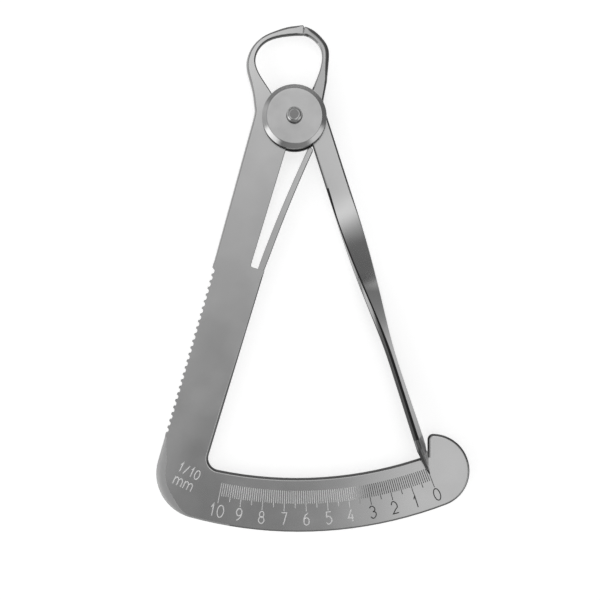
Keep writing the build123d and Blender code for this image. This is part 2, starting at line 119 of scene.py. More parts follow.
@dataclass
class NodeBuilder:
    """Adds nodes to the tree of a material or of the world.

    Attributes:
        tree: The tree that takes the nodes.
    """

    tree: bpy.types.NodeTree

    def feed(self, node: bpy.types.Node, inputs: Inputs) -> bpy.types.Node:
        """Links sockets to a node's inputs and sets constants on them.

        Args:
            node: The node.
            inputs: The sockets and constants, by the name or number of the input.

        Returns:
            The node.
        """
        for name, value in inputs.items():
            if isinstance(value, Socket):
                self.tree.links.new(value, node.inputs[name])
            else:
                node.inputs[name].default_value = value
        return node

    def add(self, kind: str, inputs: Inputs | None = None, operation: str = "") -> bpy.types.Node:
        """Adds a node.

        Args:
            kind: Blender's name of the node.
            inputs: The sockets and constants for its inputs.
            operation: Blender's name of its operation, where it has one.

        Returns:
            The new node.
        """
        node = self.tree.nodes.new(kind)
        if operation:
            node.operation = operation
        return self.feed(node, inputs or {})

    def math(self, operation: str, *values: Value) -> Socket:
        """Adds a sum of sockets and numbers, and gives its result."""
        return self.add("ShaderNodeMath", dict(enumerate(values)), operation).outputs[0]

    def noise(self, place: Socket, scale: float, detail: float) -> Socket:
        """Adds a noise at a place, and gives its values."""
        inputs: Inputs = {"Vector": place, "Scale": scale, "Detail": detail}
        return self.add("ShaderNodeTexNoise", inputs).outputs["Fac"]

    def between(
        self, value: Value, reach: Point, levels: Point = (0.0, 1.0), kind: str = "LINEAR"
    ) -> Socket:
        """Moves from one level to another as a value passes through its reach.

        Args:
            value: The value.
            reach: Values at which the result starts and stops moving.
            levels: The results there.
            kind: Blender's name of the interpolation.

        Returns:
            The socket that gives the result.
        """
        names = ("From Min", "From Max", "To Min", "To Max")
        limits = dict(zip(names, (*reach, *levels), strict=True))
        node = self.add("ShaderNodeMapRange", {"Value": value, **limits})
        node.interpolation_type = kind
        return node.outputs["Result"]

    def fade(self, value: Value, reach: Point) -> Socket:
        """Eases from 0 to 1 as a value passes through its reach."""
        return self.between(value, reach, kind="SMOOTHSTEP")


@dataclass(frozen=True)
class Steel:
    """A metal finish: its grey, its gloss and the fine marks on it.

    Attributes:
        name: Name of the material.
        grey: Linear grey of the bare metal.
        roughness: Middle value of the surface roughness.
        roughness_spread: How far handling smudges move the roughness either way.
        smudge_size: Size of the smudges, in millimetres.
        tone_spread: How far the smudges lighten and darken the metal.
        grain_width: Distance between grinding lines, in millimetres.
        grain_length: Length of the grinding lines, in millimetres.
        grain_depth: Height of the grinding lines, in millimetres.
        grain_turn: Direction of the grinding lines from +X, in degrees.
        way: Direction in which the grey changes along the piece.
        tones: Places in that direction in rising order, in millimetres, each with the share of
        the grey that is left there, which paints light and shade along the piece. It is empty
        where the grey is even.
    """

    name: str
    grey: float
    roughness: float
    roughness_spread: float = 0.04
    smudge_size: float = 9.0
    tone_spread: float = 0.03
    grain_width: float = 0.12
    grain_length: float = 3.0
    grain_depth: float = 0.0006
    grain_turn: float = 0.0
    way: Way = Way.X
    tones: tuple[Point, ...] = ()

    def material(self) -> bpy.types.Material:
        """Gives the finish as a node material, built the first time that it is asked for.

        Returns:
            The material.
        """
        made = bpy.data.materials.get(self.name)
        if made:
            return made
        made = bpy.data.materials.new(self.name)
        made.use_nodes = True
        nodes = NodeBuilder(made.node_tree)
        place = nodes.add("ShaderNodeTexCoord").outputs["Object"]
        smudges = nodes.noise(place, 1 / (self.smudge_size * MM), SMUDGE_DETAIL)
        rough, tone = (
            nodes.between(smudges, NOISE_REACH, (middle - spread, middle + spread))
            for middle, spread in (
                (self.roughness, self.roughness_spread),
                (1.0, self.tone_spread),
            )
        )
        tint = nodes.add(
            "ShaderNodeVectorMath", {0: self._colour(nodes, place), "Scale": tone}, "SCALE"
        )
        width = self.grain_width * MM
        turned = nodes.add(
            "ShaderNodeMapping",
            {
                "Vector": place,
                "Rotation": (0, 0, math.radians(self.grain_turn)),
                "Scale": (self.grain_length * MM, width, width),
            },
        )
        turned.vector_type = "TEXTURE"
        grain = nodes.noise(turned.outputs["Vector"], 1.0, GRAIN_DETAIL)
        bump = nodes.add("ShaderNodeBump", {"Height": grain, "Distance": self.grain_depth * MM})
        nodes.feed(
            made.node_tree.nodes["Principled BSDF"],
            {
                "Metallic": 1.0,
                "Roughness": rough,
                "Base Color": tint.outputs["Vector"],
                "Normal": bump.outputs["Normal"],
            },
        )
        return made

    def _colour(self, nodes: NodeBuilder, place: Socket) -> Socket | tuple[float, ...]:
        """Gives the metal's colour, with painted light and shade where it changes along the piece.

        Args:
            nodes: Nodes of the material.
            place: The socket that gives the place on the object.

        Returns:
            The colour, or the socket that gives it where it changes along the piece.
        """
        if not self.tones:
            return (self.grey,) * 3
        split = nodes.add("ShaderNodeSeparateXYZ", {0: place}).outputs
        first, last = self.tones[0][0], self.tones[-1][0]
        share = nodes.between(split[self.way.value], (first * MM, last * MM))
        ramp = nodes.add("ShaderNodeValToRGB", {"Fac": share})
        stops = ramp.color_ramp.elements
        for along, _ in self.tones[1:-1]:
            stops.new((along - first) / (last - first))
        for stop, (_, left) in zip(stops, self.tones, strict=True):
            stop.color = (*[self.grey * left] * 3, 1)
        return ramp.outputs["Color"]


SHEET_STEEL = Steel("satin_sheet", 0.5, 0.2, tone_spread=0.045, grain_turn=70.0)
# Painted shade: darker down the twisted blade and a little on the jaw, full grey on the shank.
ARM_SHADE_STEEL = Steel(
    "satin_arm_painted_shade",
    0.5,
    0.2,
    grain_turn=107.0,
    way=Way.Y,
    tones=(
        (-66, 0.3),
        (-58, 0.42),
        (-46, 0.42),
        (-42, 0.28),
        (-36, 0.28),
        (-32, 0.9),
        (-20, 1.0),
        (-5, 1.0),
        (5, 0.83),
    ),
)
# Painted shade on the blade's edge strip, darker towards the point, lighter towards the shank.
BLADE_EDGE_SHADE_STEEL = Steel(
    "blade_edge",
    0.5,
    0.2,
    grain_turn=107.0,
    way=Way.Y,
    tones=((-60, 0.26), (-46, 0.34), (-38, 0.5), (-30, 0.8)),
)
# Painted highlight on the pointer's tip, fading to painted shade up towards the blade.
POINTER_HIGHLIGHT_STEEL = Steel(
    "ground_pointer_painted_highlight",
    0.8,
    0.5,
    grain_turn=107.0,
    way=Way.Y,
    tones=((-72, 1.0), (-69, 0.7), (-66, 0.22)),
)
# The scale's lines carry painted light: bright on the left of the scale, and painted shadow in the
# grooves on the right.
ENGRAVED_LIGHT_STEEL = Steel(
    "engraved_line_painted_light", 0.95, 0.5, grain_width=0.05, tones=((12.0, 1.0), (15.5, 0.11))
)
# Painted shade that dims the rounded edges' outer facets.
ROUNDING_SHADE_STEEL = Steel("rounded_edge_painted_shade", 0.2, 0.25)
BRUSHED_STEEL = Steel("brushed_edge", 0.5, 0.55)
# Dark painted shade on the sheets' edge walls and on the bored walls of the joint.
WALL_SHADE_STEEL = Steel("wall_painted_shade", 0.08, 0.4)
# Near-black painted shade on the blade's corner roundings and on the discs' sides that face the
# sheets.
BLACK_SHADE_STEEL = Steel("black_shade_edge", 0.03, 0.4)
DISC_STEEL = Steel(
    "polished_disc", 0.48, 0.18, smudge_size=5.0, tone_spread=0.06, grain_depth=0.0003
)
# Washers painted near black as the shade in the gap between the plates.
WASHER_SHADE_STEEL = Steel("washer_painted_shade", 0.06, 0.5)
PIN_STEEL = Steel("bright_pin", 0.23, 0.12, grain_depth=0.0002)
# The sheet's faces keep their bare grey; its roundings and walls carry painted shade.
SHEET_FINISHES = {
    Zone.FACE: SHEET_STEEL,
    Zone.ROUNDING: ROUNDING_SHADE_STEEL,
    Zone.WALL: WALL_SHADE_STEEL,
}


def lean_point(tilt: float, offset: float, along: float) -> Point:
    """Gives a point on a line that leaves the pivot at a tilt from -Y towards +X.

    Args:
        tilt: Tilt of the line, in degrees.
        offset: Sideways distance from the line, in millimetres.
        along: Distance down the line, in millimetres.

    Returns:
        The point, in millimetres.
    """
    turn = math.radians(tilt)
    return (
        offset * math.cos(turn) + along * math.sin(turn),
        offset * math.sin(turn) - along * math.cos(turn),
    )


def lean_place(tilt: float, point: Point) -> Point:
    """Measures where a point lies from a line that leaves the pivot at a tilt.

    Args:
        tilt: Tilt of the line from -Y towards +X, in degrees.
        point: The point, in millimetres.

    Returns:
        Its sideways distance from the line and its distance down the line, in millimetres.
    """
    turn = math.radians(tilt)
    return (
        point[0] * math.cos(turn) + point[1] * math.sin(turn),
        point[0] * math.sin(turn) - point[1] * math.cos(turn),
    )


def ease(value: float, start: float, full: float) -> float:
    """Eases from 0 to 1 as a value passes from a start to where it is full."""
    held = min(max((value - start) / (full - start), 0.0), 1.0)
    return held * held * (3 - 2 * held)


def level_faces(mesh: Mesh, level: float) -> set[bmesh.types.BMFace]:
    """Finds the flat faces of a sheet at one height.

    Args:
        mesh: The sheet.
        level: Height, in millimetres.

    Returns:
        The faces that lie at the height.
    """
    return {
        face
        for face in mesh.faces
        if abs(face.normal.z) > LEVEL_NORMAL
        and all(abs(corner.co.z - level * MM) < SAME_PLACE for corner in face.verts)
    }


def packed_mesh(node: str) -> Mesh:
    """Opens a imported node's mesh, with its doubled corners joined.

    Args:
        node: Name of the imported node.

    Returns:
        The mesh.
    """
    mesh = bmesh.new()
    mesh.from_mesh(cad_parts[node].data)
    bmesh.ops.remove_doubles(mesh, verts=mesh.verts, dist=SAME_PLACE)
    return mesh


def packed_outline(node: str, level: float) -> Outline:
    """Reads the outer outline of a packed sheet at one of its faces.

    Args:
        node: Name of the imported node.
        level: Height of the face, in millimetres.

    Returns:
        The outline's points in millimetres, anticlockwise.
    """
    mesh = packed_mesh(node)
    faces = level_faces(mesh, level)
    links: dict[Corner, list[Corner]] = {}
    for edge in mesh.edges:
        if sum(face in faces for face in edge.link_faces) == 1:
            one, two = edge.verts
            links.setdefault(one, []).append(two)
            links.setdefault(two, []).append(one)
    loops: list[Outline] = []
    seen: set[Corner] = set()
    for start in links:
        loop: Outline = []
        corner = start
        while corner not in seen:
            seen.add(corner)
            loop.append((corner.co.x / MM, corner.co.y / MM))
            corner = next((other for other in links[corner] if other not in seen), corner)
        loops.append(loop)
    mesh.free()
    outer = max(loops, key=lambda loop: abs(signed_area(loop)))
    return outer if signed_area(outer) > 0 else outer[::-1]


def runs(outline: Outline) -> list[tuple[Point, Point]]:
    """Pairs each point of a closed outline with the one after it."""
    return list(zip(outline, outline[1:] + outline[:1], strict=True))


def signed_area(outline: Outline) -> float:
    """Gives the area inside an outline, positive where it runs anticlockwise."""
    return sum(one[0] * two[1] - two[0] * one[1] for one, two in runs(outline)) / 2


def spaced(outline: Outline) -> Outline:
    """Drops the points of an outline that lie too close to the last one kept.

    Args:
        outline: Points of the outline, in millimetres.

    Returns:
        The points that are left.
    """
    kept = [outline[0]]
    for point in outline[1:]:
        if math.dist(point, kept[-1]) >= LEAST_RUN:
            kept.append(point)
    return kept


def divided(outline: Outline, most: float) -> Outline:
    """Adds points to a closed outline where its runs are long.

    Args:
        outline: Points of the outline.
        most: Longest run that is left, in millimetres.

    Returns:
        The outline with the added points.
    """
    filled: Outline = []
    for (x, y), (next_x, next_y) in runs(outline):
        parts = max(1, math.ceil(math.dist((x, y), (next_x, next_y)) / most))
        for share in (part / parts for part in range(parts)):
            filled.append((x + (next_x - x) * share, y + (next_y - y) * share))
    return filled


def runs_inward(outline: Outline) -> list[Point]:
    """Finds the directions into the material across the run after each point.

    Args:
        outline: Points of the outline, anticlockwise.

    Returns:
        One direction of length 1 for each point.
    """
    ways: list[Point] = []
    for one, two in runs(outline):
        length = math.dist(one, two)
        ways.append(((one[1] - two[1]) / length, (two[0] - one[0]) / length))
    return ways


def inward(outline: Outline, closed: bool) -> list[Point]:
    """Finds the directions that point into the material at each point of an outline.

    Args:
        outline: Points of the outline, anticlockwise.
        closed: Whether the last point joins the first.

    Returns:
        One direction for each point, longer at sharp corners so that offset sides stay parallel.
    """
    sides = runs_inward(outline)
    ways: list[Point] = []
    for index in range(len(outline)):
        near = [sides[index - 1], sides[index]]
        if not closed and index == 0:
            near = near[1:]
        elif not closed and index == len(outline) - 1:
            near = near[:1]
        mean_x, mean_y = (sum(parts) / len(near) for parts in zip(*near, strict=True))
        size = max(mean_x**2 + mean_y**2, MITRE_LIMIT)
        ways.append((mean_x / size, mean_y / size))
    return ways


def inscribed(outline: Outline, ways: list[Point], index: int) -> float:
    """Finds the radius of the largest circle inside an outline that touches it at a point.

    Args:
        outline: Points of the outline.
        ways: Directions into the material at each point.
        index: Which point.

    Returns:
        The radius, in millimetres.
    """
    (x, y), (to_x, to_y) = outline[index], ways[index]
    length = math.hypot(to_x, to_y)
    radii = [
        ((other_x - x) ** 2 + (other_y - y) ** 2) * length / (2 * ahead)
        for other_x, other_y in outline
        if (ahead := (other_x - x) * to_x + (other_y - y) * to_y) > 0
    ]
    return min(radii, default=math.inf)


def smooth_along(outline: Outline, values: list[float], reach: float) -> list[float]:
    """Averages values along an outline, so that they change gradually.

    Args:
        outline: Points of the outline.
        values: One value for each point.
        reach: Distance each way that an average covers, in millimetres.

    Returns:
        The averaged values.
    """
    smooth: list[float] = []
    for point in outline:
        near = [
            value
            for other, value in zip(outline, values, strict=True)
            if math.dist(other, point) <= reach
        ]
        smooth.append(sum(near) / len(near))
    return smooth


@dataclass(frozen=True)
class SheetSection:
    """Rounded section of the steel sheet's edge.

    Attributes:
        low: Height of the back face, in millimetres.
        high: Height of the front face, in millimetres.
        steps: Facets in a quarter turn of an edge.
        flat: Width of the level strip inside each rounding, in millimetres.
        wall: Least half height of the wall between the roundings, in millimetres.
    """

    low: float
    high: float
    steps: int = 5
    flat: float = 0.03
    wall: float = 0.02

    @property
    def rows(self) -> int:
        """Number of rows of points round the edge."""
        return 2 * self.steps + 4

    def points(self, radius: float) -> list[Point]:
        """Gives a point for each row round the edge, from the back to the front.

        Args:
            radius: Radius of the rounding, in millimetres.

        Returns:
            Pairs of the inset from the outline and the height, in millimetres.
        """
        drop = min(radius, (self.high - self.low) / 2 - self.wall)
        quarter = [
            (radius * (1 - math.sin(turn)), drop * (1 - math.cos(turn)))
            for turn in (math.radians(90 * step / self.steps) for step in range(self.steps + 1))
        ]
        back = [(radius + self.flat, self.low)] + [(i, self.low + d) for i, d in quarter]
        front = [(i, self.high - d) for i, d in reversed(quarter)]
        return back + front + [(radius + self.flat, self.high)]

    def zone(self, row: int, side: Side) -> Zone:
        """Tells which material the strip after a row has, and so its painted shade.

        Args:
            row: Row of points before the strip.
            side: How much painted shade the edge has.

        Returns:
            The strip's zone.
        """
        steps_off = abs(row - self.steps - 1)
        dark, dimmed = side.value
        if steps_off < dark:
            return Zone.BRUSHED if side is Side.BRUSHED else Zone.WALL
        return Zone.ROUNDING if steps_off < dimmed else Zone.FACE


@dataclass
class SheetBuilder:
    """Builds a piece cut from the steel sheet, with rounded edges.

    Attributes:
        section: The rounded section of the sheet's edge.
        finishes: The finish of each zone, with the faces' first.
        mesh: The mesh that grows.
    """

    section: SheetSection
    finishes: dict[Zone, Steel]
    mesh: Mesh = field(default_factory=bmesh.new)

    def corner(self, x: float, y: float, z: float) -> Corner:
        """Adds a corner at a place in millimetres."""
        return self.mesh.verts.new((x * MM, y * MM, z * MM))

    def strip(self, corners: tuple[Corner, ...], zone: Zone) -> None:
        """Adds one smooth facet of an edge.

        Args:
            corners: Its corners.
            zone: The zone that it lies in.
        """
        face = self.mesh.faces.new(corners)
        face.smooth = True
        face.material_index = list(self.finishes).index(zone)

    def plate(
        self, outline: Outline, radii: list[float], sides: list[Side], closed: bool
    ) -> list[list[Corner]]:
        """Adds a flat plate with rounded edges.

        Args:
            outline: Points of the plate's outline, anticlockwise, in millimetres.
            radii: Radius of the edge at each point, in millimetres.
            sides: How much painted shade the edge has on the run after each point.
            closed: Whether the edge also runs between the last point and the first.

        Returns:
            One list of corners for each row of the edge.
        """
        rows: list[list[Corner]] = [[] for _ in range(self.section.rows)]
        for (x, y), (to_x, to_y), radius in zip(
            outline, inward(outline, closed), radii, strict=True
        ):
            for row, (inset, height) in zip(rows, self.section.points(radius), strict=True):
                row.append(self.corner(x + to_x * inset, y + to_y * inset, height))
        count = len(outline)
        for index, (low, high) in enumerate(zip(rows, rows[1:], strict=False)):
            for here in range(count if closed else count - 1):
                after = (here + 1) % count
                zone = self.section.zone(index, sides[here])
                self.strip((low[here], low[after], high[after], high[here]), zone)
        self.mesh.faces.new(rows[-1])
        self.mesh.faces.new(rows[0][::-1])
        return rows

    def object(self, name: str) -> Object:
        """Closes the mesh and makes an object of it."""
        return mesh_object(name, self.mesh, list(self.finishes.values()))


def mesh_object(name: str, mesh: Mesh, finishes: list[Steel]) -> Object:
    """Makes a scene object of a mesh.

    Args:
        name: Name of the new object.
        mesh: The mesh, which is freed.
        finishes: Finishes for the mesh's material numbers.

    Returns:
        The new object.
    """
    data = bpy.data.meshes.new(name)
    mesh.to_mesh(data)
    mesh.free()
    made = bpy.data.objects.new(name, data)
    for finish in finishes:
        data.materials.append(finish.material())
    bpy.context.scene.collection.objects.link(made)
    return made


def cut(piece: Object, tool: Mesh, finish: Steel) -> None:
    """Cuts a closed mesh out of a piece.

    Args:
        piece: The piece that is cut.
        tool: The mesh that is taken away, which is freed.
        finish: Finish of the cut faces.
    """
    cutter = mesh_object("cutter", tool, [finish])
    knife = piece.modifiers.new("cut", "BOOLEAN")
    knife.operation = "DIFFERENCE"
    knife.solver = "EXACT"
    knife.material_mode = "TRANSFER"
    knife.object = cutter
    bpy.context.view_layer.update()
    graph = bpy.context.evaluated_depsgraph_get()
    result = bpy.data.meshes.new_from_object(piece.evaluated_get(graph))
    piece.modifiers.clear()
    old = piece.data
    piece.data = result
    result.name = piece.name
    bpy.data.meshes.remove(old)
    bpy.data.objects.remove(cutter)


@dataclass
class Sheet:
    """Heights, edges and joint sizes that the sheet's pieces share.

    Sizes are in millimetres and degrees.
    """

    low: float = 1.85
    high: float = 3.05
    edge_radius: float = 0.5
    jaw_radius: float = 0.6
    jaw_inside_radius: float = 0.3
    jaw_start: float = 7.0
    jaw_loop: Point = (-1.0, 11.0)
    radius_blend: float = 0.5
    radius_fill: Point = (0.72, 0.88)
    least_radius: float = 0.02
    contact_radius: float = 0.14
    contact_lean: float = 6.0
    contact_depth: float = 0.09
    eye_recess_radius: float = 4.95
    lap_gap: float = 0.06
    pin_hole_radius: float = 1.57
    cutter_reach: float = 1.0
    cutter_sides: int = 128

    @property
    def middle(self) -> float:
        """Height of the sheet's middle."""
        return (self.low + self.high) / 2

    @property
    def thickness(self) -> float:
        """Thickness of the sheet."""
        return self.high - self.low

    @property
    def section(self) -> SheetSection:
        """The rounded section of the sheet's edge."""
        return SheetSection(self.low, self.high)

    def radii(self, outline: Outline, wanted: list[float], closed: bool) -> list[float]:
        """Holds the radius of the edge back where the material is narrow.

        Args:
            outline: Points of the outline, anticlockwise.
            wanted: Radius that each point would have on wide material.
            closed: Whether the last point joins the first.

        Returns:
            One radius for each point, in millimetres.
        """
        ways = inward(outline, closed)
        rooms = [inscribed(outline, ways, index) for index in range(len(outline))]
        share, most = self.radius_fill
        held = [min(radius, share * wide) for radius, wide in zip(wanted, rooms, strict=True)]
        smooth = smooth_along(outline, held, self.radius_blend)
        return [
            max(min(radius, most * wide - self.section.flat), self.least_radius)
            for radius, wide in zip(smooth, rooms, strict=True)
        ]

    def in_loop(self, point: Point, way: Point) -> bool:
        """Tells whether a point of a jaw faces the loop, from the way into the material."""
        from_x, from_y = point[0] - self.jaw_loop[0], point[1] - self.jaw_loop[1]
        return from_x * way[0] + from_y * way[1] > 0

    def radius_at(self, point: Point, way: Point) -> float:
        """Gives the radius of the sheet's edge at a point, which differs on the jaws.

        Args:
            point: Point of the outline.
            way: Direction into the material.

        Returns:
            The radius on wide material, in millimetres.
        """
        if point[1] <= self.jaw_start:
            return self.edge_radius
        beside, _ = lean_place(-self.contact_lean, point)
        if abs(beside) < self.contact_depth:
            return self.contact_radius
        return self.jaw_inside_radius if self.in_loop(point, way) else self.jaw_radius

    def cut_joint(self, piece: Object, front: bool) -> None:
        """Halves a piece's eye in thickness and bores the pin's hole.

        Args:
            piece: The piece that is cut.
            front: Whether the front half goes, or the back half.
        """
        below, above = self.low - self.cutter_reach, self.high + self.cutter_reach
        gap = self.lap_gap / 2
        low, high = (self.middle - gap, above) if front else (below, self.middle + gap)
        for radius, base, top in (
            (self.eye_recess_radius, low, high),
            (self.pin_hole_radius, below, above),
        ):
            drill = bmesh.new()
            bmesh.ops.create_cone(
                drill,
                cap_ends=True,
                segments=self.cutter_sides,
                radius1=radius * MM,
                radius2=radius * MM,
                depth=(top - base) * MM,
            )
            bmesh.ops.translate(drill, verts=drill.verts, vec=(0, 0, (base + top) / 2 * MM))
            # The bored walls take the dark painted shade.
            cut(piece, drill, WALL_SHADE_STEEL)


@dataclass
class FramePlate:
    """The limb, the graduated arc, the end tab and the left jaw, in one sheet.

    Sizes are in millimetres and degrees.
    """

    sheet: Sheet
    limb_tilt: float = -16.85
    limb_offset: float = 3.2
    limb_parting: float = -2.0
    slot_floor: float = 32.2
    slot_reach: float = 0.3
    slot_radius: float = 0.12
    leaf_root_width: float = 1.45
    root_radius: float = 0.02
    root_reach: float = 0.1
    socket_radius: float = 0.765
    socket_reach: float = 0.04
    grip_start: float = 34.0
    grip_end: float = 71.0
    grip_radius: float = 0.12
    heel_radius: float = 2.0
    heel_span: Point = (-22.0, -27.5)
    heel_rise: float = 6.0
    heel_corner: Point = (-14.0, -62.0)
    # Directions into the material that decide how much painted shade an edge gets.
    lit_ways: Point = (0.25, 0.6)
    shaded_way: float = -0.3
    inner_radius: float = 0.26
    inner_span: Point = (-44.0, -60.0)
    longest_run: float = 1.5
    engraving_depth: float = 0.1
    engraving_overcut: float = 0.2

    @property
    def leaf_root(self) -> Point:
        """Middle of the leaf spring's root."""
        return lean_point(
            self.limb_tilt, self.limb_offset - self.leaf_root_width / 2, self.slot_floor
        )

    def outline(self) -> Outline:
        """Gives the outline of the sheet, with the leaf spring's socket filled.

        Returns:
            The outline's points in millimetres, anticlockwise.
        """
        corner = lean_point(self.limb_tilt, self.limb_offset, self.slot_floor)
        filled: Outline = []
        for point in packed_outline("frame_plate", self.sheet.low):
            if math.dist(point, self.leaf_root) > self.socket_radius + self.socket_reach:
                filled.append(point)
            elif corner not in filled:
                filled.append(corner)
        return divided(spaced(filled), self.longest_run)

    def at_heel(self, point: Point) -> bool:
        """Tells whether a point lies at the outer corner between the limb and the arc."""
        return point[0] < self.heel_corner[0] and point[1] < self.heel_corner[1]

    def in_slot(self, point: Point) -> bool:
        """Tells whether a point lies on the limb's side of the slot behind the leaf spring."""
        beside, along = lean_place(self.limb_tilt, point)
        return beside > self.limb_parting and 0 < along < self.slot_floor + self.slot_reach

    def in_grip(self, point: Point) -> bool:
        """Tells whether a point lies on the serrated stretch of the limb's outer side."""
        beside, along = lean_place(self.limb_tilt, point)
        return beside < self.limb_parting and self.grip_start < along < self.grip_end

    def edge_radius(self, point: Point, way: Point) -> float:
        """Gives the radius of the sheet's edge at a point of its outline.

        Args:
            point: Point of the outline.
            way: Direction into the material.

        Returns:
            The radius on wide material, in millimetres.
        """
        if self.in_grip(point):
            return self.grip_radius
        if math.dist(point, self.leaf_root) < self.leaf_root_width / 2 + self.root_reach:
            return self.root_radius
        if point[1] > self.sheet.jaw_start:
            return self.sheet.radius_at(point, way)
        if self.in_slot(point):
            return self.slot_radius
        if point[0] < 0 and way[0] < self.shaded_way:
            share = ease(point[1], *self.inner_span)
            return self.inner_radius + (self.sheet.edge_radius - self.inner_radius) * share
        if not self.at_heel(point):
            return self.sheet.edge_radius
        _, along = lean_place(self.limb_tilt, point)
        share = ease(along, self.grip_end, self.grip_end + self.heel_rise)
        share *= ease(point[0], *self.heel_span)
        return self.sheet.edge_radius + (self.heel_radius - self.sheet.edge_radius) * share

    def side(self, point: Point, way: Point) -> Side:
        """Tells how much painted shade the edge has on the run after a point.

        Args:
            point: Point of the outline.
            way: Direction into the material across the run.

        Returns:
            The edge's painted shade, or its brushed stretch at the heel.
        """
        if self.at_heel(point) and way[0] > 0:
            return Side.BRUSHED
        if self.in_slot(point):
            return Side.SOFT
        soft, lit = self.lit_ways
        if point[0] < 0 and way[0] > soft:
            return Side.LIT if way[0] > lit else Side.SOFT
        return Side.SHADED if way[0] < self.shaded_way else Side.PLAIN

    def engraving(self) -> Mesh:
        """Makes the solid that the scale's lines and numbers take out of the sheet.

        Returns:
            The solid, which reaches above the sheet.
        """
        mesh = packed_mesh("frame_plate")
        floors = level_faces(mesh, self.sheet.high - self.engraving_depth)
        others = [face for face in mesh.faces if face not in floors]
        bmesh.ops.delete(mesh, geom=others, context="FACES")
        bmesh.ops.dissolve_limit(mesh, angle_limit=FLAT_ANGLE, verts=mesh.verts, edges=mesh.edges)
        raised = bmesh.ops.extrude_face_region(mesh, geom=mesh.faces[:], use_keep_orig=True)
        tops = [item for item in raised["geom"] if isinstance(item, Corner)]
        rise = (self.engraving_depth + self.engraving_overcut) * MM
        bmesh.ops.translate(mesh, verts=tops, vec=(0, 0, rise))
        bmesh.ops.recalc_face_normals(mesh, faces=mesh.faces)
        return mesh

    def build(self) -> None:
        """Builds the sheet with its engraving and its half of the joint."""
        outline = self.outline()
        spots = zip(outline, inward(outline, closed=True), strict=True)
        radii = self.sheet.radii(outline, [self.edge_radius(*s) for s in spots], closed=True)
        sides = [self.side(*s) for s in zip(outline, runs_inward(outline), strict=True)]
        finishes = SHEET_FINISHES | {Zone.BRUSHED: BRUSHED_STEEL}
        builder = SheetBuilder(self.sheet.section, finishes)
        builder.plate(outline, radii, sides, closed=True)
        piece = builder.object("graduated_frame")
        cut(piece, self.engraving(), ENGRAVED_LIGHT_STEEL)
        self.sheet.cut_joint(piece, front=True)
        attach(piece, Body.FRAME.value)
        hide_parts("frame_plate")
        log.info("%s: %d faces", piece.name, len(piece.data.polygons))


